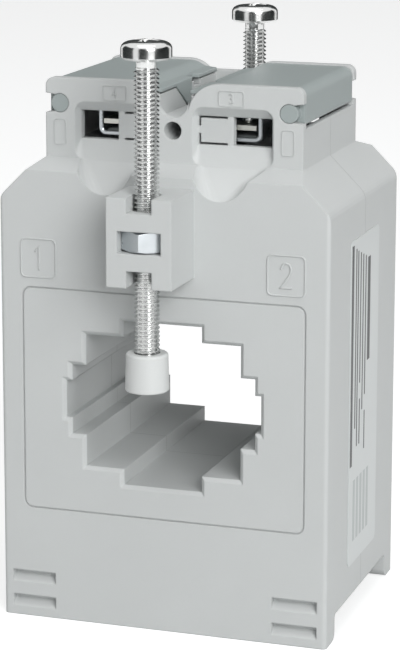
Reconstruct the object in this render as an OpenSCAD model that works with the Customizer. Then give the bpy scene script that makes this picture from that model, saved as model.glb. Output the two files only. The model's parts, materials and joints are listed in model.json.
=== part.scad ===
// Current transformer for a panel: a two-shell housing around a stepped bar window, with a wound
// ring core inside, a busbar clamp screw on each face and two covered terminal towers on top.
// X runs across the front, Y from front to back and Z up. The origin is at the middle of the base.

/* [Housing] */
// Width of the housing
body_w = 55.4; // [52:0.1:72]
// Depth of the housing, front face to back face
body_d = 42.5; // [40:0.1:60]
// Height at which the sloping shoulders start
shoulder_z = 70.4; // [68:0.1:90]
// Horizontal run of each shoulder, up to the tower's side
shoulder_run = 6.05; // [5.5:0.05:7]
// Height of the deck's front and back edges above the shoulder's foot
deck_rise = 4.6; // [4:0.1:5.4]
// Thickness of the housing's walls
wall = 2; // [1.6:0.1:2.4]
// Thickness of the deck under the towers' lead-in slopes
roof_t = 2.6; // [2.2:0.1:4]
// Radius of the housing's upright edges
edge_r = 0.7; // [0.3:0.1:1.2]
// Depth of the foot lips at the front and the back
lip_d = 5.2; // [4:0.1:7]
// Height of the raised underside between the foot lips
lip_h = 4.2; // [3.4:0.1:5]

/* [Bar window] */
// Height of the window's middle
win_z = 37.6; // [37:0.1:42]
// Width of the first step, the widest and lowest
step1_w = 33; // [32:0.1:34]
// Height of the first step
step1_h = 6.2; // [5.4:0.1:8]
// Width of the second step
step2_w = 31; // [30:0.1:31.6]
// Height of the second step
step2_h = 11.6; // [10.4:0.1:13]
// Width of the third step
step3_w = 26.2; // [24:0.1:27]
// Height of the third step
step3_h = 22; // [20:0.1:23]
// Width of the fourth step, the narrowest and tallest
step4_w = 13.2; // [11:0.1:15]
// Height of the fourth step
step4_h = 27.2; // [26:0.1:29]
// Wall of the sleeve that lines the window
sleeve_t = 1.2; // [1:0.1:1.5]
// Bevel around the window's mouth
win_bevel = 0.6; // [0.3:0.1:0.8]
// Width of the witness line's panel around the window
panel_w = 47.8; // [46:0.1:49]
// Height of the witness line's panel
panel_h = 37.2; // [34:0.1:40]
// Width and depth of the witness line
panel_line = 0.2; // [0.15:0.01:0.3]

/* [Towers] */
// Height of the towers above the deck's edge
tower_h = 14.4; // [14.2:0.1:18]
// Set-back of the towers from the front and back faces
tower_in = 5.5; // [5:0.1:6]
// Width of the valley between the towers
valley_w = 5.2; // [4.4:0.1:5.8]
// Depth of the valley below the towers' tops
valley_h = 5.7; // [5:0.1:6.2]
// Depth of the terminal chambers below the towers' tops
chamber_h = 11.5; // [11.3:0.1:11.7]
// Thickness of the end plates that carry the cover pins
plate_t = 1.5; // [1.3:0.1:1.8]
// Thickness of the towers' side walls
side_t = 1; // [0.8:0.1:1.2]
// Radius of the end plates' inner top corners
plate_r = 5; // [4:0.1:5.4]
// Drop of the wire windows' top edge below the towers' tops
port_drop = 5.3; // [5.2:0.1:6]
// Width of a tower's wire window, with its knock-out
port_w = 12.2; // [11.6:0.1:12.6]
// Height of the wire windows
port_h = 4.6; // [4.2:0.1:4.8]
// Width of the knock-out that closes the window's inner part
knockout_w = 5.8; // [5.2:0.1:6.2]
// Width of the slits around the knock-out
slit = 0.35; // [0.25:0.05:0.5]
// Diameter of the hole through the middle between the towers
eyelet_d = 2.9; // [2:0.1:3.2]

/* [Bar clamps] */
// Nominal thread diameter of the clamp screws
clamp_d = 4; // [3.6:0.1:4.2]
// Length of the clamp screws under the head
clamp_len = 50; // [46:0.5:52]
// Rise of the clamp screws' heads above the towers' tops
clamp_rise = 5.2; // [4:0.1:9]
// Distance from the housing's face to the clamp screw's axis
clamp_out = 6.8; // [6.4:0.1:7.6]
// Width of the brackets that hold the clamp nuts
bracket_w = 10.8; // [10:0.1:13]
// Reach of the brackets from the housing's face
bracket_out = 10.65; // [9.4:0.05:12]
// Height of the brackets
bracket_h = 14.2; // [13:0.1:16]
// Distance from the deck's edge down to the brackets' tops
bracket_drop = 1.6; // [1:0.1:4]
// Width across the flats of the clamp nuts
nut_af = 7; // [6.4:0.1:7.4]
// Thickness of the clamp nuts
nut_t = 3.2; // [2.8:0.1:3.6]
// Diameter of the pressure feet
foot_d = 7; // [6.6:0.1:8]
// Height of the pressure feet
foot_h = 6.1; // [5:0.1:8]
// Depth of the socket in a pressure foot
foot_socket = 3.7; // [3:0.1:4]

/* [Terminals] */
// Distance from the middle to each row of terminals
term_x = 10.6; // [10.4:0.1:10.8]
// Width of a clamping cage
cage_w = 6.6; // [6:0.1:7]
// Length of a clamping cage along the depth
cage_d = 6; // [5:0.1:6.4]
// Sheet thickness of a clamping cage
cage_t = 0.8; // [0.6:0.05:0.9]
// Thickness of the terminal bars
bar_t = 0.8; // [0.6:0.05:1]
// Diameter of the terminal screws
term_d = 3; // [2.5:0.1:3.2]
// Head diameter of the terminal screws
term_head_d = 5; // [4.6:0.1:5.6]

/* [Covers] */
// Diameter of the hinge pins
pin_d = 3; // [2.6:0.1:3.2]
// Thickness of the covers' walls
cover_t = 1.1; // [0.9:0.05:1.2]
// Depth of the pointed tongue below the cover's lip
tongue_h = 3.9; // [3:0.1:4.1]

/* [Core and winding] */
// Thickness of the wound copper layer
winding_t = 1.2; // [1:0.1:1.4]
// Thickness of the tape between the core and the winding
tape_t = 0.4; // [0.3:0.05:0.5]
// Diameter of the leads to the terminal bars
lead_d = 1.8; // [1.4:0.1:2.2]

/* [Rating label] */
// Width of the label
label_w = 17.6; // [14:0.1:24]
// Height of the label
label_h = 54.4; // [40:0.1:56]
// Thickness of the label
label_t = 0.12; // [0.1:0.01:0.2]

/* [Hidden] */

$fn = 48;
eps = 0.01;
over = 1;               // how far a cutter runs past the face that it leaves through
seat = 0.3;             // gap between a piece and the one that carries it
run = 0.05;             // radial clearance of a running fit
sides = [-1, 1];

half_w = body_w / 2;
half_d = body_d / 2;
deck_z = shoulder_z + deck_rise;
tower_x = half_w - shoulder_run;          // outer side of a tower
tower_y = half_d - tower_in;              // front and back faces of a tower
tower_z = deck_z + tower_h;
hip_z = shoulder_z + shoulder_run;        // where a shoulder meets the tower's side
port_deep = plate_t;                      // the wire windows lie behind the plate's face
port_wall = 1.5;
chamber_y = tower_y - port_deep - port_wall;
cover_y = tower_y - plate_t - 0.15;
floor_z = tower_z - chamber_h;            // floor of the terminal chambers
port_top = tower_z - port_drop;
port_x = term_x - 0.6;                    // middle of a wire window
sill_z = port_top - port_h;
chute_z = hip_z - 0.3;                    // foot of a wire window's recess, where its chute starts
block_x = port_x + port_w / 2 + 0.9;      // outer end of the thick wall around a window
inner_wall = 1.4;                         // wall between the valley and a chamber
valley_z = tower_z - valley_h;

// Bar window: widths and heights of its four steps
steps = [[step1_w, step1_h], [step2_w, step2_h], [step3_w, step3_h], [step4_w, step4_h]];
sleeve_r = max([for (s = steps) norm([s[0] / 2 + sleeve_t, s[1] / 2 + sleeve_t])]);

// Ring: the winding fits between the sleeve and the housing's side walls
ring_in = sleeve_r + seat;
ring_out = half_w - wall - seat;
ring_y = half_d - wall - seat;
layer = winding_t + tape_t;

// Hinge of the covers
pin_x = tower_x - 2.4;
pin_z = tower_z - 4.15;
mouth_h = pin_d - 0.5;
cover_top = tower_z - 0.2;
cover_x = tower_x - 0.25;
cover_low = pin_z - 1.95;
lip_z = tower_z - 1.9;
lip_x = valley_w / 2 - 0.2;
ear_t = 1;
ear_r = 1.9;
ear_w = 1.5;                              // reach of an ear's upper part, inwards of the pin
bridge_lap = 1.5;                         // reach of the bridge at the back into each tower

// Terminals
bar_z = floor_z + 3.9;                    // underside of a terminal bar
cage_in = cage_w - 2 * cage_t;
bar_w = cage_in - 0.4;
cage_gap = 3.6;                           // clear height inside a cage
cage_z = bar_z - 1.2 - cage_t;            // underside of a cage, with its clamp part open
cage_y = chamber_y - seat - 0.1 - cage_d / 2;
term_head_z = cage_z + cage_gap + 2 * cage_t + 1.4;
term_head_h = 1.4;
pedestal_y = 4.5;                         // half length of the block that carries the terminal bar

// Bar clamps
clamp_y = half_d + clamp_out;
clamp_head_z = tower_z + clamp_rise;
clamp_tip_z = clamp_head_z - clamp_len;
clamp_head_d = 2 * clamp_d;
clamp_head_h = 0.775 * clamp_d;
bracket_top = deck_z - bracket_drop;
bracket_low = bracket_top - bracket_h;
nut_z = bracket_low + 5.6;
foot_z = clamp_tip_z + foot_socket - foot_h;

label_z = shoulder_z - 6.4 - label_h / 2;

// Points of an outline whose corners are rounded: each entry is [x, y, radius]
function corner(a, b, c) =
    let (u = [a[0] - b[0], a[1] - b[1]], v = [c[0] - b[0], c[1] - b[1]],
         e = u / norm(u), f = v / norm(v), half = acos(e * f) / 2,
         turn = sign(cross(e, f)), reach = b[2] / tan(half),
         mid = [b[0], b[1]] + (e + f) / norm(e + f) * b[2] / sin(half),
         start = [b[0], b[1]] + e * reach - mid, span = 180 - 2 * half, n = ceil(span / 12))
    b[2] == 0 ? [[b[0], b[1]]] :
    [for (i = [0:n]) let (t = -turn * span * i / n)
        mid + [start[0] * cos(t) - start[1] * sin(t), start[0] * sin(t) + start[1] * cos(t)]];
function rounded(p) =
    [for (i = [0:len(p) - 1]) each corner(p[(i + len(p) - 1) % len(p)], p[i], p[(i + 1) % len(p)])];

// Rectangle with true round corners, centred
module plate2d(w, h, r) {
    square([w, h - 2 * r], center = true);
    square([w - 2 * r, h], center = true);
    for (x = sides, y = sides) translate([x * (w / 2 - r), y * (h / 2 - r)]) circle(r);
}

// An outline drawn in X and Z, run along Y from y0 to y1
module along_y(y0, y1) {
    translate([0, y1, 0]) rotate([90, 0, 0]) linear_extrude(y1 - y0) children();
}

// An outline drawn in Y and Z, run along X from x0 to x1
module along_x(x0, x1) {
    translate([x0, 0, 0]) rotate([90, 0, 90]) linear_extrude(x1 - x0) children();
}

// A box given by its low and high corners
module box(a, b) {
    translate(a) cube(b - a);
}

// Both sides of the middle plane
module both() {
    for (m = [0, 1]) mirror([m, 0, 0]) children();
}

// Outer form of the housing under the towers
module body_form() {
    intersection() {
        linear_extrude(tower_z) plate2d(body_w, body_d, edge_r);
        along_y(-half_d, half_d) polygon(rounded([
            [-half_w, 0, 0], [half_w, 0, 0], [half_w, shoulder_z, 3],
            [tower_x, hip_z, 0], [-tower_x, hip_z, 0], [-half_w, shoulder_z, 3]]));
        along_x(-half_w, half_w) polygon([
            [-half_d, 0], [half_d, 0], [half_d, deck_z],
            [tower_y, hip_z], [-tower_y, hip_z], [-half_d, deck_z]]);
    }
}

// Valley between the towers: round bottom, and corners that open out at the top
module valley2d() {
    r = valley_w / 2;
    translate([0, valley_z + r]) circle(r);
    translate([-r, valley_z + r]) square([valley_w, tower_z + over - valley_z - r]);
    both() difference() {
        translate([r - eps, tower_z - plate_r]) square([plate_r, plate_r + over]);
        translate([r + plate_r, tower_z - plate_r]) circle(plate_r);
    }
}

// One tower, as a filled block with its end plates
module tower_block() {
    difference() {
        along_y(-tower_y, tower_y) polygon(rounded([
            [0, hip_z - 4, 0], [tower_x, hip_z - 4, 0], [tower_x, tower_z, 1.4], [0, tower_z, 0]]));
        along_y(-tower_y - over, tower_y + over) valley2d();
    }
}

// What the covers fill: the towers' tops between the end plates
module cover_room() {
    y = tower_y - plate_t;
    box([valley_w / 2 + inner_wall, -chamber_y, floor_z], [tower_x - side_t, chamber_y, tower_z + over]);
    box([block_x, -y, floor_z], [tower_x - side_t, y, tower_z + over]);
    box([0, -y, port_top + 0.8], [tower_x - side_t, y, tower_z + over]);
    box([tower_x - side_t - eps, -y, cover_low - 0.5], [tower_x + over, y, tower_z + over]);
}

// Wall along the valley, up to the cover's lip
module valley_wall() {
    y = tower_y - plate_t;
    box([valley_w / 2, -y, hip_z], [valley_w / 2 + inner_wall, y, lip_z - seat]);
}

// Pointed tongue of the right-hand cover, in Y and Z; its steep side faces the front
module tongue2d(grow) {
    low = lip_z - tongue_h - grow;
    top = lip_z + 0.2 + grow;
    polygon([[7.2 + 1.4 * grow, top], [0.2 + grow, low], [-0.3 - grow, low],
             [-0.9 - grow, low + 2], [-0.9 - grow, top]]);
}

// The left-hand cover and the back shell's own features are the right-hand ones turned round
module turned() {
    rotate([0, 0, 180]) children();
}

// Hinge bearing in an end plate: the pin's bore and its mouth to the outside
module pin_slot() {
    along_y(-tower_y - over, -tower_y + plate_t + over) {
        translate([pin_x, pin_z]) circle(pin_d / 2 + run);
        polygon([[pin_x, pin_z - mouth_h / 2], [pin_x, pin_z + mouth_h / 2],
                 [tower_x + over, pin_z + mouth_h / 2 + 0.5],
                 [tower_x + over, pin_z - mouth_h / 2 - 0.5]]);
    }
}

// Sloping recess and lead-in chute of a wire window, with the window's own opening
module port_cut() {
    w = port_w / 2;
    recess_y = -tower_y + port_deep;
    hull() {
        box([port_x - w, recess_y - eps, sill_z], [port_x + w, recess_y, port_top]);
        along_y(-tower_y - eps, -tower_y) translate([port_x, (port_top + 1.6 + chute_z) / 2])
            plate2d(port_w + 1.2, port_top + 1.6 - chute_z, 1.8, $fn = 32);
    }
    hull() {
        along_y(-tower_y - eps, -tower_y) translate([port_x, chute_z + 2.4])
            plate2d(port_w + 1.2, 4.8, 2.3, $fn = 32);
        along_y(-half_d - over, -half_d) translate([port_x - 0.4, sill_z - 3.6]) circle(4.3, $fn = 32);
    }
    // open part of the window, on the outer side
    box([port_x - w + knockout_w, -tower_y, sill_z], [port_x + w, -chamber_y + over, port_top]);
    // slits around the knock-out, which leave two bridges
    x0 = port_x - w;
    x1 = x0 + knockout_w - 1;
    for (z = [sill_z, port_top - slit])
        box([x0, -tower_y, z], [x1, -chamber_y + over, z + slit]);
    for (z = [[sill_z, sill_z + 1.8], [port_top - 1.6, port_top]])
        box([x0, -tower_y, z[0]], [x0 + slit, -chamber_y + over, z[1]]);
}

// The bar window's outline, grown by g all round
module window2d(g) {
    for (s = steps) square([s[0] + 2 * g, s[1] + 2 * g], center = true);
}

// Bevelled mouth of one rectangular step at the front face
module mouth(w, h) {
    c = win_bevel;
    y = -half_d;
    intersection() {
        translate([0, 0, -h]) linear_extrude(2 * h) polygon([
            [-w / 2 - c - over, y - over], [w / 2 + c + over, y - over], [w / 2, y + c], [-w / 2, y + c]]);
        along_x(-w, w) polygon([
            [y - over, -h / 2 - c - over], [y + c, -h / 2], [y + c, h / 2], [y - over, h / 2 + c + over]]);
    }
}

// Fixing sockets beside the foot lips: a sharp top edge and a ramp below it
module foot_slots() {
    deep = 1.4;
    for (x = sides, z = [3.5, 7.75])
        translate([x * (half_w - 5.35) - 3.75, 0, 0])
            along_x(0, 7.5) polygon([[-half_d - over, z], [-half_d + deep, z], [-half_d + deep, z - 0.8],
                                     [-half_d, z - 2], [-half_d - over, z - 2]]);
}

// Underside between the foot lips, whose inner edges are rounded
module underside() {
    y = -half_d + lip_d;
    along_x(-half_w - over, half_w + over) polygon(rounded([
        [y, lip_h, 0.6], [half_d, lip_h, 0], [half_d, -over, 0],
        [y - 2, -over, 0], [y - 2, 0, 0], [y, 0, 1.6]]));
}

// Cavity for the ring, seen from the front
module cavity2d() {
    slope = wall * (sqrt(2) - 1);
    top = deck_z - roof_t;
    x = half_w - wall;
    shoulder = shoulder_z - slope;
    polygon([[-x, lip_h + wall], [x, lip_h + wall], [x, shoulder], [x + shoulder - top, top],
             [-x - shoulder + top, top], [-x, shoulder]]);
}

// Bracket that holds the clamp nut in front of the face
module bracket() {
    y0 = -half_d - bracket_out;
    n = clamp_d + 0.2;
    difference() {
        box([-bracket_w / 2, y0, bracket_low], [bracket_w / 2, -half_d + wall / 2, bracket_top]);
        translate([0, -clamp_y, bracket_low - over]) cylinder(d = clamp_d + 0.4, h = bracket_h + 2 * over);
        for (z = [[bracket_low - over, bracket_low + 2.7], [bracket_top - 2.4, bracket_top + over]])
            box([-n / 2, y0 - over, z[0]], [n / 2, -clamp_y, z[1]]);
        box([-nut_af / 2 - 0.1, y0 - over, nut_z - 0.15],
            [nut_af / 2 + 0.1, -clamp_y + nut_af / sqrt(3) + 0.1, nut_z + nut_t + 0.15]);
    }
}

// Solid parts of the housing's front half
module shell_solid() {
    difference() {
        union() {
            body_form();
            both() difference() {
                tower_block();
                cover_room();
            }
            box([-valley_w / 2 - eps, -tower_y, hip_z - 2],
                [valley_w / 2 + eps, tower_y, valley_z + valley_w / 2]);
            both() valley_wall();
        }
        along_y(-tower_y - over, -tower_y + plate_t) {
            translate([0, valley_z + valley_w / 2]) circle(d = valley_w);
            translate([-valley_w / 2, valley_z + valley_w / 2]) square([valley_w, valley_h]);
        }
        box([-valley_w / 2, -tower_y + plate_t - eps, valley_z], [valley_w / 2, tower_y, tower_z]);
        along_y(-half_d + wall, half_d + over) cavity2d();
        underside();
    }
    along_y(-half_d, 0) translate([0, win_z]) window2d(sleeve_t);
    both() box([term_x - bar_w / 2, -pedestal_y, floor_z - eps], [term_x + bar_w / 2, pedestal_y, bar_z]);
    bracket();
}

// Openings that pass through the front half
module shell_cuts() {
    along_y(-half_d - over, over) translate([0, win_z]) window2d(0);
    translate([0, 0, win_z]) for (s = steps) mouth(s[0], s[1]);
    both() {
        port_cut();
        pin_slot();
        translate([term_x, 0, deck_z - roof_t - over]) cylinder(d = lead_d + 0.6, h = tower_h);
    }
    // the tongues of both covers, and the gap for a blade beside the left-hand one
    for (a = [0, 180]) rotate([0, 0, a])
        along_x(lip_x - 0.25, valley_w / 2 + inner_wall + eps) tongue2d(0.25);
    box([valley_w / 2 - eps, -6, lip_z - 1.1], [valley_w / 2 + inner_wall + eps, -2.5, lip_z]);
    along_y(-tower_y - over, over) translate([0, floor_z + 3.75]) circle(d = eyelet_d);
    foot_slots();
    // witness line around the window
    along_y(-half_d - over, -half_d + panel_line) translate([0, win_z - 0.3]) difference() {
        plate2d(panel_w, panel_h, 1.5);
        plate2d(panel_w - 2 * panel_line, panel_h - 2 * panel_line, 1.5 - panel_line);
    }
    // the other half
    box([-body_w, 0, -over], [body_w, body_d, tower_z + over]);
}

module shell() {
    difference() {
        shell_solid();
        shell_cuts();
    }
}

module front_shell() {
    color("#bfc2c2") shell();
}

// The back half also closes the valley at the back with a low bridge
module back_shell() {
    color("#bfc2c2") {
        turned() shell();
        box([-valley_w / 2 - bridge_lap, tower_y - plate_t, valley_z],
            [valley_w / 2 + bridge_lap, tower_y, lip_z + 0.2]);
    }
}

// A ring around the window, centred on the middle plane
module ring(r0, r1, y) {
    translate([0, y, win_z]) rotate([90, 0, 0]) difference() {
        cylinder(r = r1, h = 2 * y);
        translate([0, 0, -over]) cylinder(r = r0, h = 2 * y + 2 * over);
    }
}

// A hollow ring of thickness t whose outer size is r0, r1 and y
module wrap(r0, r1, y, t) {
    difference() {
        ring(r0, r1, y);
        ring(r0 + t, r1 - t, y - t);
    }
}

module core() {
    color("#8d9196") ring(ring_in + layer + run, ring_out - layer - run, ring_y - layer - run);
}

module core_tape() {
    color("#e0c25a") wrap(ring_in + winding_t + run, ring_out - winding_t - run,
                          ring_y - winding_t - run, tape_t - run);
}

module secondary_winding() {
    color("#b5703c") wrap(ring_in, ring_out, ring_y, winding_t);
}

// A lead rises from the winding to the underside of its terminal bar
module lead(side) {
    color("#c08a3e") difference() {
        translate([side * term_x, 0, win_z]) cylinder(d = lead_d, h = bar_z - win_z);
        translate([0, half_d, win_z]) rotate([90, 0, 0]) cylinder(r = ring_out + run, h = body_d);
    }
}
module lead_s1() { lead(1); }
module lead_s2() { lead(-1); }

module terminal_bar(side) {
    x = side * term_x;
    y = chamber_y - seat;
    color("#c9cbc6") box([x - bar_w / 2, -y, bar_z], [x + bar_w / 2, y, bar_z + bar_t]);
}
module terminal_bar_s1() { terminal_bar(1); }
module terminal_bar_s2() { terminal_bar(-1); }

// Clamping cage around the terminal bar; its top plate is threaded for the screw
module cage(side, end) {
    high = cage_gap + 2 * cage_t;
    color("#c2c6c8") translate([side * term_x, end * cage_y, cage_z]) difference() {
        box([-cage_w / 2, -cage_d / 2, 0], [cage_w / 2, cage_d / 2, high]);
        box([-cage_in / 2, -cage_d / 2 - over, cage_t], [cage_in / 2, cage_d / 2 + over, high - cage_t]);
        translate([0, 0, cage_t + over]) cylinder(d = term_d + 2 * run, h = high);
    }
}
module cage_s1_front() { cage(1, -1); }
module cage_s1_back() { cage(1, 1); }
module cage_s2_front() { cage(-1, -1); }
module cage_s2_back() { cage(-1, 1); }

module terminal_screw(side, end) {
    tip = bar_z + bar_t + run;
    color("#d2d5d6") translate([side * term_x, end * cage_y, 0]) difference() {
        union() {
            translate([0, 0, tip]) cylinder(d = term_d, h = term_head_z - tip + eps);
            translate([0, 0, term_head_z]) cylinder(d = term_head_d, h = term_head_h);
        }
        box([-term_head_d, -0.4, term_head_z + 0.6], [term_head_d, 0.4, tower_z]);
    }
}
module terminal_screw_s1_front() { terminal_screw(1, -1); }
module terminal_screw_s1_back() { terminal_screw(1, 1); }
module terminal_screw_s2_front() { terminal_screw(-1, -1); }
module terminal_screw_s2_back() { terminal_screw(-1, 1); }

// Right-hand terminal cover, moulded with its hinge pins and its tongue
module cover() {
    inner_x = cover_x - cover_t;
    inner_z = cover_top - cover_t;
    difference() {
        along_y(-cover_y, cover_y) polygon(rounded([
            [cover_x, cover_low, 0.4], [cover_x, cover_top, 1.7], [lip_x + 3.8, cover_top, 3],
            [lip_x + 1.9, lip_z + 0.75, 1.2], [lip_x, lip_z + 0.6, 0.2], [lip_x, lip_z, 0],
            [lip_x + 2.2, lip_z, 0], [lip_x + 4.2, inner_z, 0], [inner_x, inner_z, 0.6],
            [inner_x, cover_low, 0.2]]));
        // notch for a blade, beside the tongue
        box([lip_x - over, -4.6, lip_z - over], [lip_x + 1.1, -1.2, cover_top]);
    }
    along_x(lip_x, lip_x + cover_t) tongue2d(0);
    for (m = [0, 1]) mirror([0, m, 0]) {
        along_y(-cover_y, -cover_y + ear_t) {
            translate([pin_x, pin_z]) circle(ear_r);
            translate([pin_x - ear_w, pin_z]) square([inner_x + ear_w - pin_x + 0.8, inner_z - pin_z + 0.5]);
            translate([pin_x, cover_low + 0.3]) square([cover_x - pin_x - 0.3, pin_z - cover_low]);
        }
        translate([pin_x, -cover_y + ear_t, pin_z]) rotate([90, 0, 0])
            cylinder(d = pin_d, h = tower_y - 0.1 - cover_y + ear_t);
    }
}
module cover_s1() {
    color("#a3a9a9") cover();
}
module cover_s2() {
    color("#a3a9a9") turned() cover();
}

// Busbar clamp screw with its pan head and cross recess, in front of the face
module clamp_screw() {
    color("#c9cdcf") translate([0, -clamp_y, 0]) difference() {
        union() {
            translate([0, 0, clamp_tip_z]) cylinder(d = clamp_d, h = clamp_len + eps);
            translate([0, 0, clamp_head_z]) rotate_extrude() polygon(rounded([
                [0, 0, 0], [clamp_head_d / 2, 0, 0], [clamp_head_d / 2, clamp_head_h, 1.5],
                [0, clamp_head_h, 0]]));
        }
        for (a = [0, 90]) rotate([0, 0, a])
            box([-2.1, -0.5, clamp_head_z + 1.2], [2.1, 0.5, clamp_head_z + clamp_head_h + over]);
    }
}
module clamp_screw_front() { clamp_screw(); }
module clamp_screw_back() { turned() clamp_screw(); }

module clamp_nut() {
    c = nut_af / sqrt(3);
    color("#c4c8ca") translate([0, -clamp_y, nut_z]) difference() {
        intersection() {
            rotate([0, 0, 30]) cylinder(r = c, h = nut_t, $fn = 6);
            rotate_extrude() polygon([[0, 0], [nut_af / 2, 0], [c, (c - nut_af / 2) / 2],
                                      [c, nut_t - (c - nut_af / 2) / 2], [nut_af / 2, nut_t], [0, nut_t]]);
        }
        translate([0, 0, -over]) cylinder(d = clamp_d + 2 * run, h = nut_t + 2 * over);
    }
}
module clamp_nut_front() { clamp_nut(); }
module clamp_nut_back() { turned() clamp_nut(); }

// Plastic foot on the clamp screw's end, which presses on the bar
module pressure_foot() {
    color("#cfd1d1") translate([0, -clamp_y, foot_z]) difference() {
        rotate_extrude() polygon(rounded([
            [0, 0, 0], [foot_d / 2, 0, 0.3], [foot_d / 2 - 0.15, foot_h, 0.4], [0, foot_h, 0]]));
        translate([0, 0, foot_h - foot_socket - run]) cylinder(d = clamp_d + 2 * run, h = foot_h);
    }
}
module pressure_foot_front() { pressure_foot(); }
module pressure_foot_back() { turned() pressure_foot(); }

module rating_label() {
    color("#dcdedc") along_x(half_w, half_w + label_t) translate([0, label_z])
        plate2d(label_w, label_h, 1.2);
}

front_shell();
back_shell();
core();
core_tape();
secondary_winding();
lead_s1();
lead_s2();
terminal_bar_s1();
terminal_bar_s2();
cage_s1_front();
cage_s1_back();
cage_s2_front();
cage_s2_back();
terminal_screw_s1_front();
terminal_screw_s1_back();
terminal_screw_s2_front();
terminal_screw_s2_back();
cover_s1();
cover_s2();
clamp_screw_front();
clamp_screw_back();
clamp_nut_front();
clamp_nut_back();
pressure_foot_front();
pressure_foot_back();
rating_label();
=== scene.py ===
import json
import math

import bmesh
import bpy
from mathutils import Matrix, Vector

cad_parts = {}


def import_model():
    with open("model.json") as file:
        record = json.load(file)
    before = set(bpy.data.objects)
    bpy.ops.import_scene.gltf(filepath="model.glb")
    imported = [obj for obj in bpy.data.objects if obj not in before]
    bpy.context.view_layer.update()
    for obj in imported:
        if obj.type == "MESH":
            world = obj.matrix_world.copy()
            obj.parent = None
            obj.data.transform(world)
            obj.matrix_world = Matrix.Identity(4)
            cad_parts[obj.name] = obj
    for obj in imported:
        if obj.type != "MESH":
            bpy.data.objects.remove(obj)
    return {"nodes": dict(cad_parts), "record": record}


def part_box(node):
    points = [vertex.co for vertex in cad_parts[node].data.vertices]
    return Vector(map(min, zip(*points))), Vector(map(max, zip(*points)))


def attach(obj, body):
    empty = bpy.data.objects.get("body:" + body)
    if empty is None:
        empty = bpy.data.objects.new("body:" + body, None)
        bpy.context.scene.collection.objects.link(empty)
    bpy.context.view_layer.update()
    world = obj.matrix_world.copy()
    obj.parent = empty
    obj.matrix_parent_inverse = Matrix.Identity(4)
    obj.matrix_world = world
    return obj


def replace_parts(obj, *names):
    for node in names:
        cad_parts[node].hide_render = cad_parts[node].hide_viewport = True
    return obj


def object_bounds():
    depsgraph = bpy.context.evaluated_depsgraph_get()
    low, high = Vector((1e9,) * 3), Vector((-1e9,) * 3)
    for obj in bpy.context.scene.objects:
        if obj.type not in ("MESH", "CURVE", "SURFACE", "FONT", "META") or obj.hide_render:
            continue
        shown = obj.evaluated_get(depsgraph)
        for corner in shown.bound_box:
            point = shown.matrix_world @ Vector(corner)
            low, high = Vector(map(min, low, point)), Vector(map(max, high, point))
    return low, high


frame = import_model()
cad_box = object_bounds()
nodes = frame["nodes"]

MM = 0.001
WINDOW_Z = 0.0376           # height of the bar window's axis
RING_R = 0.0222             # mean radius of the winding
FACE_Y = -21.25             # mm, front face of the housing
PLATE_Y = -15.75            # mm, front face of the towers' end plates
MERGE = 1e-7                # points closer than this are one point


# ---------------------------------------------------------------- materials

class Nodes:
    """Short calls for building a material's node tree. Any input may be a number or another output."""

    def __init__(self, name):
        self.mat = bpy.data.materials.new(name)
        self.mat.use_nodes = True
        self.tree = self.mat.node_tree
        self.shader = self.tree.nodes["Principled BSDF"]
        self.coord = self.tree.nodes.new("ShaderNodeTexCoord").outputs["Object"]

    def feed(self, node, key, value):
        if hasattr(value, "is_output"):
            self.tree.links.new(value, node.inputs[key])
        else:
            node.inputs[key].default_value = value

    def new(self, kind, **sockets):
        n = self.tree.nodes.new("ShaderNode" + kind)
        for key, value in sockets.items():
            self.feed(n, key, value)
        return n

    def link(self, a, b):
        self.tree.links.new(a, b)

    def math(self, op, a, b=0.0, c=0.0):
        n = self.tree.nodes.new("ShaderNodeMath")
        n.operation = op
        for i, value in enumerate((a, b, c)):
            self.feed(n, i, value)
        return n.outputs[0]

    def noise(self, scale, detail=2.0, rough=0.5, vector=None):
        n = self.new("TexNoise", Scale=scale, Detail=detail, Roughness=rough)
        self.link(vector or self.coord, n.inputs["Vector"])
        return n.outputs["Fac"]

    def ramp(self, fac, stops):
        n = self.tree.nodes.new("ShaderNodeValToRGB")
        el = n.color_ramp.elements
        while len(el) < len(stops):
            el.new(0.5)
        for e, (pos, col) in zip(el, stops):
            e.position = pos
            e.color = (*col, 1)
        self.link(fac, n.inputs["Fac"])
        return n.outputs["Color"]

    def span(self, fac, lo, hi, to_lo, to_hi):
        n = self.tree.nodes.new("ShaderNodeMapRange")
        for i, value in enumerate((fac, lo, hi, to_lo, to_hi)):
            self.feed(n, i, value)
        return n.outputs[0]

    def mix(self, fac, a, b):
        n = self.tree.nodes.new("ShaderNodeMix")
        n.data_type = "RGBA"
        for i, value in zip((0, 6, 7), (fac, a, b)):      # a colour mix's own sockets
            self.feed(n, i, value)
        return n.outputs[2]

    def bump(self, height, distance, strength=1.0, normal=None):
        n = self.new("Bump", Strength=strength, Distance=distance)
        self.link(height, n.inputs["Height"])
        if normal is not None:
            self.link(normal, n.inputs["Normal"])
        return n.outputs["Normal"]

    def soft_edges(self, radius, samples=6):
        n = self.tree.nodes.new("ShaderNodeBevel")
        n.samples = samples
        n.inputs["Radius"].default_value = radius
        return n.outputs["Normal"]


def shade(col, k):
    """A colour made lighter or darker."""
    return tuple(min(1.0, c * k) for c in col)


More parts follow.
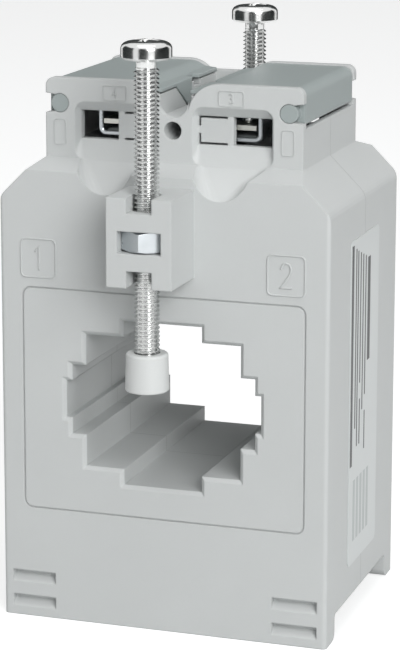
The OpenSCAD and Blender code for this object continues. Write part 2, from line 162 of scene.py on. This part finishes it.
def moulded(name, col, rough, grain=0.5, edge=0.00022, spec=0.45, seam=False):
    """Moulded plastic: spark-eroded grain, faint flow marks and softened edges."""
    m = Nodes(name)
    fine = m.noise(5200, 3.0, 0.6)
    flow = m.noise(45, 4.0, 0.55)
    base = m.ramp(flow, [(0.3, shade(col, 0.975)), (0.7, shade(col, 1.02))])
    speck = m.ramp(fine, [(0.25, shade(col, 0.96)), (0.75, shade(col, 1.03))])
    colour = m.mix(0.35, base, speck)
    if seam:
        # fine dark line where the two halves meet, at Y = 0
        y = m.new("SeparateXYZ")
        m.link(m.coord, y.inputs[0])
        line = m.span(m.math("ABSOLUTE", y.outputs["Y"]), 0.00003, 0.00013, 1.0, 0.0)
        colour = m.mix(m.math("MULTIPLY", line, 0.35), colour, (*shade(col, 0.35), 1))
    m.link(colour, m.shader.inputs["Base Color"])
    m.link(m.span(fine, 0.2, 0.8, rough - 0.05, rough + 0.06), m.shader.inputs["Roughness"])
    m.shader.inputs["Specular IOR Level"].default_value = spec
    normal = m.bump(fine, 0.000012 * grain, 1.0, m.soft_edges(edge) if edge else None)
    m.link(normal, m.shader.inputs["Normal"])
    return m.mat


def plated(name, col, rough, edge=0.0001, streak=0.04, tint=0.06):
    """Plated steel: a thin bright coat with small patches and fine handling marks."""
    m = Nodes(name)
    patch = m.noise(380, 4.0, 0.6)
    fine = m.noise(9000, 2.0, 0.6)
    colour = m.ramp(patch, [(0.3, shade(col, 1 - tint)), (0.7, shade(col, 1 + tint))])
    m.link(colour, m.shader.inputs["Base Color"])
    m.shader.inputs["Metallic"].default_value = 1.0
    m.link(m.span(patch, 0.25, 0.75, rough - streak, rough + streak),
           m.shader.inputs["Roughness"])
    normal = m.bump(fine, 0.0000008, 0.5, m.soft_edges(edge, 4) if edge else None)
    m.link(normal, m.shader.inputs["Normal"])
    return m.mat


def wound(name, col, rough, pitch, spiral):
    """Metal wound about the window's axis: turns of wire around the ring, or a spiral of strip, with
    painted shade between the turns and a painted highlight on each turn.
    """
    m = Nodes(name)
    p = m.new("SeparateXYZ")
    m.link(m.coord, p.inputs[0])
    x, z = p.outputs["X"], m.math("SUBTRACT", p.outputs["Z"], WINDOW_Z)
    if spiral:
        square = m.math("ADD", m.math("MULTIPLY", x, x), m.math("MULTIPLY", z, z))
        turn = m.math("DIVIDE", m.math("SQRT", square), pitch)
    else:
        turn = m.math("MULTIPLY", m.math("ARCTAN2", z, x), RING_R / pitch)
    line = m.math("ABSOLUTE", m.math("SUBTRACT", m.math("FRACT", turn), 0.5))
    # painted light: each turn is lighter in its middle (painted highlight) and darker where the turns
    # meet (painted shade in the grooves), following the bump below
    colour = m.ramp(line, [(0.02, shade(col, 1.1)), (0.45, shade(col, 0.55))])
    stain = m.ramp(m.noise(600), [(0.3, shade(col, 0.8)), (0.7, shade(col, 1.1))])
    m.link(m.mix(0.25, colour, stain), m.shader.inputs["Base Color"])
    m.shader.inputs["Metallic"].default_value = 1.0
    m.link(m.span(m.noise(900), 0.2, 0.8, rough - 0.06, rough + 0.06), m.shader.inputs["Roughness"])
    m.link(m.bump(m.math("SUBTRACT", 0.5, line), 0.00008), m.shader.inputs["Normal"])
    return m.mat


HOUSING = moulded("housing_plastic", (0.535, 0.552, 0.550), 0.5, edge=0.00032, seam=True)
COVER = moulded("cover_plastic", (0.325, 0.365, 0.362), 0.42, grain=0.35, edge=0.0003)
FOOT = moulded("foot_plastic", (0.62, 0.635, 0.63), 0.42, grain=0.3, edge=0.0002)
LABEL = moulded("label_film", (0.56, 0.585, 0.585), 0.33, grain=0.15, edge=0)
INK = moulded("label_ink", (0.035, 0.038, 0.04), 0.4, grain=0.15, edge=0)
PALE_INK = moulded("label_field", (0.40, 0.43, 0.43), 0.36, grain=0.15, edge=0)
TAPE = moulded("core_tape", (0.74, 0.54, 0.10), 0.35, grain=0.3, edge=0)
SCREW = plated("nickel_plate", (0.74, 0.745, 0.74), 0.19)
ZINC = plated("zinc_plate", (0.55, 0.58, 0.60), 0.3)
TIN = plated("tin_plate", (0.60, 0.60, 0.56), 0.34)
CORE = wound("core_steel", (0.25, 0.27, 0.29), 0.4, 0.3 * MM, spiral=True)
COPPER = wound("copper_wire", (0.50, 0.19, 0.07), 0.3, 0.8 * MM, spiral=False)

FINISH = {
    "housing_plastic": HOUSING,
    "cover_plastic": COVER,
    "foot_plastic": FOOT,
    "label_film": LABEL,
    "tape": TAPE,
    "core_steel": CORE,
    "copper": COPPER,
    "tinned_brass": TIN,
    "zinc_steel": ZINC,
    "screw_steel": SCREW,
}
slot_of = {s["node"]: s["material_slot"] for s in frame["record"]["subparts"]}
for name, obj in nodes.items():
    obj.data.materials.clear()
    obj.data.materials.append(FINISH[slot_of[name]])


# ---------------------------------------------------------------- pieces

def piece(name, bm, material, body, smooth=40.0):
    """A finished mesh object that rides on a body."""
    bmesh.ops.remove_doubles(bm, verts=bm.verts, dist=MERGE)
    bmesh.ops.dissolve_degenerate(bm, dist=MERGE, edges=bm.edges)
    bmesh.ops.recalc_face_normals(bm, faces=bm.faces)
    mesh = bpy.data.meshes.new(name)
    bm.to_mesh(mesh)
    bm.free()
    for p in mesh.polygons:
        p.use_smooth = True
    mesh.set_sharp_from_angle(angle=math.radians(smooth))
    obj = bpy.data.objects.new(name, mesh)
    bpy.context.scene.collection.objects.link(obj)
    obj.data.materials.append(material)
    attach(obj, body)
    return obj


def lathe(bm, axis, profile, segs=64):
    """Turns (radius, height) points about a vertical axis at axis = (x, y)."""
    rings = []
    for r, z in profile:
        if r < 1e-9:
            rings.append([bm.verts.new((axis[0], axis[1], z))])
        else:
            turns = [2 * math.pi * i / segs for i in range(segs)]
            rings.append([bm.verts.new((axis[0] + r * math.cos(a), axis[1] + r * math.sin(a), z))
                          for a in turns])
    for lo, hi in zip(rings, rings[1:]):
        for i in range(segs):
            j = (i + 1) % segs
            quad = [lo[i % len(lo)], lo[j % len(lo)], hi[j % len(hi)], hi[i % len(hi)]]
            face = list(dict.fromkeys(quad))
            if len(face) > 2:
                bm.faces.new(face)


def thread(bm, axis, z0, z1, major, minor, pitch, segs=48):
    """A right-hand helical thread between z0 and z1, which runs out to the core at both ends."""
    # one turn's section, as shares of the pitch: root, crest and root
    section = [(0.12, minor), (0.46, major), (0.60, major), (0.94, minor)]
    run_out = 0.8 * pitch
    rows = []
    for k in range(-2, int((z1 - z0) / pitch) + 3):
        for frac, r in section:
            row = []
            for i in range(segs + 1):
                z = z0 + pitch * (k + frac + i / segs)
                lead = min(1.0, max(0.0, (z - z0) / run_out), max(0.0, (z1 - z) / run_out))
                rad = minor + (r - minor) * lead
                a = 2 * math.pi * i / segs
                row.append(bm.verts.new((axis[0] + rad * math.cos(a), axis[1] + rad * math.sin(a),
                                         min(z1, max(z0, z)))))
            rows.append(row)
    for lo, hi in zip(rows, rows[1:]):
        for i in range(segs):
            bm.faces.new((lo[i], lo[i + 1], hi[i + 1], hi[i]))


def link_mesh(name, bm):
    """An object made from a bmesh, for a step that needs one."""
    mesh = bpy.data.meshes.new(name)
    bm.to_mesh(mesh)
    bm.free()
    obj = bpy.data.objects.new(name, mesh)
    bpy.context.scene.collection.objects.link(obj)
    return obj


def cross_cutter(axis, top, bottom, half, slot_w):
    """Tapered cross, as two bars with sloping ends; half is half of its span at its middle."""
    bm = bmesh.new()
    for turned in (False, True):
        ring = []
        for z, half_l, half_w in ((top, half * 1.1, slot_w * 0.62), (bottom, half * 0.42, slot_w * 0.36)):
            for sx, sy in ((-1, -1), (1, -1), (1, 1), (-1, 1)):
                u, v = sx * half_l, sy * half_w
                u, v = (-v, u) if turned else (u, v)
                ring.append(bm.verts.new((axis[0] + u, axis[1] + v, z)))
        t, b = ring[:4], ring[4:]
        bm.faces.new(t)
        bm.faces.new(b[::-1])
        for i in range(4):
            j = (i + 1) % 4
            bm.faces.new((t[i], b[i], b[j], t[j]))
    bmesh.ops.recalc_face_normals(bm, faces=bm.faces)
    return link_mesh("cut", bm)


def screw_head(name, axis, z, r, h, lip, half, slot_w, depth):
    """Mesh of a pan head of height h on z, with a round upper edge and a cross recess."""
    bm = bmesh.new()
    arc = 9
    profile = [(0, z), (r - lip * 0.25, z), (r, z + lip * 0.25)]
    for i in range(arc + 1):
        a = i / arc * math.pi / 2
        profile.append((r - lip + lip * math.cos(a), z + h - lip * 0.95 + lip * 0.75 * math.sin(a)))
    profile += [((r - lip) * 0.6, z + h - lip * 0.2 + lip * 0.14), (0, z + h)]
    lathe(bm, axis, profile, 72)
    bmesh.ops.remove_doubles(bm, verts=bm.verts, dist=MERGE)
    bmesh.ops.recalc_face_normals(bm, faces=bm.faces)
    head = link_mesh(name, bm)
    cutter = cross_cutter(axis, z + h + 0.3 * MM, z + h - depth, half, slot_w)
    mod = head.modifiers.new("cut", "BOOLEAN")
    mod.object, mod.operation, mod.solver = cutter, "DIFFERENCE", "EXACT"
    mod.use_self = True
    done = bpy.data.meshes.new_from_object(
        head.evaluated_get(bpy.context.evaluated_depsgraph_get()))
    bpy.data.objects.remove(head)
    bpy.data.objects.remove(cutter)
    return done


def make_screw(node, body, head_h, major, minor, pitch, neck, lip, half, slot_w, depth):
    """Threaded screw in place of a plain one; sizes in mm, the last four for its head and recess."""
    head_h, major, minor, pitch, neck = (v * MM for v in (head_h, major, minor, pitch, neck))
    lo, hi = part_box(node)
    axis = ((lo.x + hi.x) / 2, (lo.y + hi.y) / 2)
    z_tip, z_neck, z_head = lo.z + 0.3 * MM, hi.z - head_h - neck, hi.z - head_h
    bm = bmesh.new()
    thread(bm, axis, z_tip, z_neck, major, minor, pitch)
    # plain neck above the thread and a chamfered tip below it
    lathe(bm, axis, [(minor, z_neck), (minor * 1.02, z_neck + 0.05 * MM),
                     (minor * 1.02, z_head + 0.1 * MM)], 48)
    lathe(bm, axis, [(0, lo.z), (minor - 0.25 * MM, lo.z), (minor, z_tip)], 48)
    bm.from_mesh(screw_head(node + "_head", axis, z_head, (hi.x - lo.x) / 2, head_h,
                            lip * MM, half * MM, slot_w * MM, depth * MM))
    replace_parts(piece(node + "_detail", bm, SCREW, body, 35), node)


for end in ("front", "back"):
    make_screw("clamp_screw_" + end, "clamp_" + end, head_h=3.1, major=2.0, minor=1.6, pitch=0.7,
               neck=1.2, lip=1.5, half=2.1, slot_w=1.0, depth=1.7)
    for s in ("s1", "s2"):
        make_screw(f"terminal_screw_{s}_{end}", f"screw_{s}_{end}", head_h=1.4, major=1.5, minor=1.2,
                   pitch=0.5, neck=0.1, lip=0.5, half=1.5, slot_w=0.8, depth=0.8)


# ---------------------------------------------------------------- moulded marks

def stroke(bm, points, width, rise, to_world):
    """A raised line along 2-D points, on a plane given by to_world(u, v, out)."""
    crest = 0.55                # width of the line's top, as a share of its foot
    closed = points[0] == points[-1]
    pts = points[:-1] if closed else points
    m = len(pts)
    rows = []
    for i, p in enumerate(pts):
        before = pts[(i - 1) % m] if closed or i > 0 else None
        after = pts[(i + 1) % m] if closed or i < m - 1 else None
        d1 = (Vector(p) - Vector(before)).normalized() if before is not None else None
        d2 = (Vector(after) - Vector(p)).normalized() if after is not None else None
        d1 = d1 or d2
        d2 = d2 or d1
        n1, n2 = Vector((-d1.y, d1.x)), Vector((-d2.y, d2.x))
        side = (n1 + n2).normalized()
        side *= min(2.0, 1.0 / max(0.3, side.dot(n1))) * width / 2      # mitred, but not far
        rows.append([bm.verts.new(to_world(*(Vector(p) + side * k), out))
                     for k, out in ((1, 0), (crest, rise), (-crest, rise), (-1, 0))])
    for i in range(m if closed else m - 1):
        a, b = rows[i], rows[(i + 1) % m]
        for j in range(3):
            bm.faces.new((a[j], a[j + 1], b[j + 1], b[j]))
    if not closed:
        bm.faces.new(rows[0])
        bm.faces.new(rows[-1][::-1])


def frame_points(x0, x1, z0, z1, r, steps=5):
    """A rectangle with round corners of radius r; its first point comes again at the end."""
    out = []
    for cx, cz, first in ((x1 - r, z0 + r, -90), (x1 - r, z1 - r, 0), (x0 + r, z1 - r, 90),
                          (x0 + r, z0 + r, 180)):
        for i in range(steps + 1):
            a = math.radians(first + 90 * i / steps)
            out.append((cx + r * math.cos(a), cz + r * math.sin(a)))
    return out + [out[0]]


# plain digits, each a list of strokes in a box 1 wide and 1 high
DIGITS = {
    "1": [[(0.28, 0.78), (0.55, 1.0), (0.55, 0.0)]],
    "2": [[(0.12, 0.76), (0.3, 0.97), (0.5, 1.0), (0.72, 0.95), (0.84, 0.77), (0.78, 0.58),
           (0.12, 0.0), (0.88, 0.0)]],
    "3": [[(0.14, 0.9), (0.45, 1.0), (0.75, 0.93), (0.8, 0.72), (0.62, 0.56), (0.4, 0.53)],
          [(0.4, 0.53), (0.7, 0.48), (0.86, 0.28), (0.76, 0.07), (0.45, 0.0), (0.12, 0.1)]],
    "4": [[(0.62, 0.0), (0.62, 1.0), (0.1, 0.3), (0.9, 0.3)]],
}


def mark(name, x0, x1, z0, z1, y, digit, turn, width, rise, r, high=0.62):
    """A moulded frame with a plain number in it, or none; sizes in mm. turn = -1 is the back."""
    bm = bmesh.new()

    def world(u, v, out):
        return (turn * u * MM, turn * (y * MM - out * MM), v * MM)

    stroke(bm, frame_points(x0, x1, z0, z1, r), width, rise, world)
    if digit:
        h = (z1 - z0) * high
        w = h * 0.6
        left, foot = (x0 + x1 - w) / 2, (z0 + z1 - h) / 2
        for line in DIGITS[digit]:
            stroke(bm, [(left + u * w, foot + v * h) for u, v in line], width * 1.15, rise, world)
    piece(name, bm, HOUSING, "housing", 30)


BIG = dict(width=0.28, rise=0.16, r=0.8)
SMALL = dict(width=0.2, rise=0.12, r=0.4)
for tag, turn in (("front", 1), ("back", -1)):
    mark(f"mark_{tag}_left", -24.0, -18.05, 57.5, 63.8, FACE_Y, "1", turn, **BIG)
    mark(f"mark_{tag}_right", 17.55, 23.7, 57.4, 63.8, FACE_Y, "2", turn, **BIG)
    mark(f"mark_{tag}_tower_left", -11.8, -7.8, 86.0, 88.4, PLATE_Y, "4", turn, high=0.6, **SMALL)
    mark(f"mark_{tag}_tower_right", 7.7, 11.8, 86.0, 88.4, PLATE_Y, "3", turn, high=0.6, **SMALL)
    mark(f"mark_{tag}_slim_left", -20.2, -18.25, 78.5, 82.6, PLATE_Y, None, turn, **SMALL)
    mark(f"mark_{tag}_slim_right", 18.1, 20.1, 78.6, 82.6, PLATE_Y, None, turn, **SMALL)


# ---------------------------------------------------------------- label

def label_bars():
    """Plain bars and fields on the label, where a print would be; they carry no words."""
    proud = 0.015 * MM
    lo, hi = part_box("rating_label")
    dark, pale = bmesh.new(), bmesh.new()

    def bar(bm, u0, u1, v0, v1):
        """A bar from u0 to u1 of the label's width and v0 to v1 of its height."""
        y0, y1 = (lo.y + u * (hi.y - lo.y) for u in (u0, u1))
        z0, z1 = (lo.z + v * (hi.z - lo.z) for v in (v0, v1))
        foot = [bm.verts.new((hi.x, y, z)) for y, z in ((y0, z0), (y1, z0), (y1, z1), (y0, z1))]
        top = [bm.verts.new((hi.x + proud, v.co.y, v.co.z)) for v in foot]
        bm.faces.new(top)
        for i in range(4):
            j = (i + 1) % 4
            bm.faces.new((foot[i], foot[j], top[j], top[i]))

    # columns of bars: a heading and five finer ones, as (left, right, low, high)
    for span in ((0.03, 0.10, 0.31, 0.985), (0.17, 0.20, 0.42, 0.97), (0.24, 0.27, 0.36, 0.96),
                 (0.33, 0.36, 0.55, 0.95), (0.33, 0.36, 0.36, 0.50), (0.42, 0.45, 0.46, 0.94),
                 (0.51, 0.54, 0.50, 0.93), (0.51, 0.54, 0.33, 0.45), (0.60, 0.69, 0.60, 0.92)):
        bar(dark, *span)
    for k in range(5):
        left = 0.15 + 0.12 * k
        bar(pale, left, left + 0.07, 0.07, 0.26)
    piece("label_bars", dark, INK, "housing", 30)
    piece("label_fields", pale, PALE_INK, "housing", 30)


label_bars()


# ---------------------------------------------------------------- cages

def make_cage(node, body):
    """Rolled sheet cage with round corners and soft edges, and ribs pressed up in its foot."""
    sheet, soft = 0.8 * MM, 0.18 * MM
    outer_r, inner_r = 1.15 * MM, 0.5 * MM
    ribs, rib_gap, rib_half, rib_high = 5, 1.05 * MM, 0.3 * MM, 0.3 * MM
    lo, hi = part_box(node)
    cx, cz = (lo.x + hi.x) / 2, (lo.z + hi.z) / 2
    half_w, half_h = (hi.x - lo.x) / 2, (hi.z - lo.z) / 2
    bm = bmesh.new()
    # loops from the front round the outside to the back, and through the inside to the front
    loops = []
    for grow, y, inside in ((-soft, lo.y, 0), (0, lo.y + soft, 0), (0, hi.y - soft, 0),
                            (-soft, hi.y, 0), (soft, hi.y, 1), (0, hi.y - soft, 1),
                            (0, lo.y + soft, 1), (soft, lo.y, 1)):
        w, h = (half - sheet * inside + grow for half in (half_w, half_h))
        ring = frame_points(-w, w, -h, h, inner_r if inside else outer_r, 6)[:-1]
        loops.append([bm.verts.new((cx + u, y, cz + v)) for u, v in ring])
    for a, b in zip(loops, loops[1:] + loops[:1]):
        for i in range(len(a)):
            j = (i + 1) % len(a)
            bm.faces.new((a[i], a[j], b[j], b[i]))
    x0, x1, z = lo.x + 1.3 * MM, hi.x - 1.3 * MM, lo.z + sheet
    for k in range(ribs):
        y = lo.y + 0.9 * MM + rib_gap * k
        v = [bm.verts.new(c) for c in (
            (x0, y - rib_half, z), (x1, y - rib_half, z), (x1, y + rib_half, z),
            (x0, y + rib_half, z), (x0, y, z + rib_high), (x1, y, z + rib_high))]
        for f in ((0, 1, 5, 4), (2, 3, 4, 5), (0, 4, 3), (1, 2, 5)):
            bm.faces.new([v[i] for i in f])
    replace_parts(piece(node + "_detail", bm, ZINC, body, 30), node)


for s in ("s1", "s2"):
    for end in ("front", "back"):
        make_cage(f"cage_{s}_{end}", f"cage_{s}_{end}")


# ---------------------------------------------------------------- floor and light

def matt(name, col):
    """A dull studio surface."""
    m = Nodes(name)
    m.shader.inputs["Base Color"].default_value = (*col, 1)
    m.shader.inputs["Roughness"].default_value = 0.9
    m.shader.inputs["Specular IOR Level"].default_value = 0.1
    return m


def seen_rays(tree):
    """1 for rays from the camera, in gloss and through glass, 0 for the light on the object."""
    path = tree.nodes.new("ShaderNodeLightPath")
    seen = path.outputs["Is Camera Ray"]
    for kind in ("Is Transmission Ray", "Is Glossy Ray"):
        either = tree.nodes.new("ShaderNodeMath")
        either.operation = "MAXIMUM"
        tree.links.new(seen, either.inputs[0])
        tree.links.new(path.outputs[kind], either.inputs[1])
        seen = either.outputs[0]
    return seen


def make_floor():
    """Pale paper that shows near white to the camera and in gloss, and keeps shadows."""
    bm = bmesh.new()
    bmesh.ops.create_grid(bm, x_segments=8, y_segments=8, size=1.6)
    floor = link_mesh("floor", bm)
    floor.location = (0, 0, min(0.0, cad_box[0][2]) - 0.02 * MM)
    m = matt("floor_paper", (0.55, 0.56, 0.56))
    m.shader.inputs["Emission Color"].default_value = (1, 1, 1, 1)
    m.link(m.math("MULTIPLY", seen_rays(m.tree), 0.62), m.shader.inputs["Emission Strength"])
    floor.data.materials.append(m.mat)


make_floor()

world = bpy.data.worlds.new("studio")
bpy.context.scene.world = world
world.use_nodes = True
tree = world.node_tree
back = tree.nodes["Background"]
strength = tree.nodes.new("ShaderNodeMapRange")
strength.inputs["To Min"].default_value = 0.30      # on the object
strength.inputs["To Max"].default_value = 1.0       # as it is seen
tree.links.new(seen_rays(tree), strength.inputs["Value"])
tree.links.new(strength.outputs[0], back.inputs["Strength"])
back.inputs["Color"].default_value = (1, 1, 1, 1)


CENTRE = Vector((0, 0, 0.05))


def lamp(name, azimuth, elevation, distance, size, power):
    """A soft box towards the object, at an azimuth from the front towards +X."""
    a, e = math.radians(azimuth), math.radians(elevation)
    way = Vector((math.sin(a) * math.cos(e), -math.cos(a) * math.cos(e), math.sin(e)))
    light = bpy.data.lights.new(name, "AREA")
    light.shape, light.size, light.size_y = "RECTANGLE", size[0], size[1]
    light.energy = power
    obj = bpy.data.objects.new(name, light)
    obj.location = CENTRE + distance * way
    obj.rotation_euler = (CENTRE - obj.location).to_track_quat("-Z", "Y").to_euler()
    bpy.context.scene.collection.objects.link(obj)


lamp("key", 40, 25, 0.95, (0.55, 0.55), 7.3)
lamp("top", 10, 82, 0.9, (0.6, 0.6), 2.8)
lamp("fill", -60, 15, 0.9, (0.5, 0.6), 0.5)


def dark_card(name, first, last, radius=0.36, height=0.34):
    """Curved black card around the object, between two azimuths, for dark streaks in its metal.

    Only gloss sees it: it neither shades the object nor shows.
    """
    bm = bmesh.new()
    steps = max(2, int((last - first) / 6))
    cols = []
    for k in range(steps + 1):
        a = math.radians(first + (last - first) * k / steps)
        x, y = radius * math.sin(a), -radius * math.cos(a)
        cols.append([bm.verts.new((x, y, z)) for z in (1 * MM, height)])
    for c, d in zip(cols, cols[1:]):
        bm.faces.new((c[0], d[0], d[1], c[1]))
    card = link_mesh(name, bm)
    card.data.materials.append(matt(name, (0.03, 0.035, 0.035)).mat)
    card.visible_camera = card.visible_diffuse = False
    card.visible_shadow = card.visible_transmission = False


for k, (first, last) in enumerate(((-14, 25), (52, 138), (160, 232), (254, 322))):
    dark_card(f"card_{k}", first, last)


# ---------------------------------------------------------------- camera

camera = bpy.data.cameras.new("camera")
camera.sensor_width = 36
camera.sensor_fit = "AUTO"
camera.lens = 137.908
camera.shift_y = -0.150077
camera.clip_start, camera.clip_end = 0.01, 10
cam = bpy.data.objects.new("camera", camera)
cam.location = (0.1287, -0.3874, 0.1425)
azimuth, pitch, roll = math.radians(18.48), math.radians(11.03), math.radians(-0.08)
cam.rotation_mode = "XYZ"
cam.rotation_euler = (math.pi / 2 - pitch, roll, azimuth)
bpy.context.scene.collection.objects.link(cam)
bpy.context.scene.camera = cam
bpy.context.scene.view_settings.view_transform = "Standard"
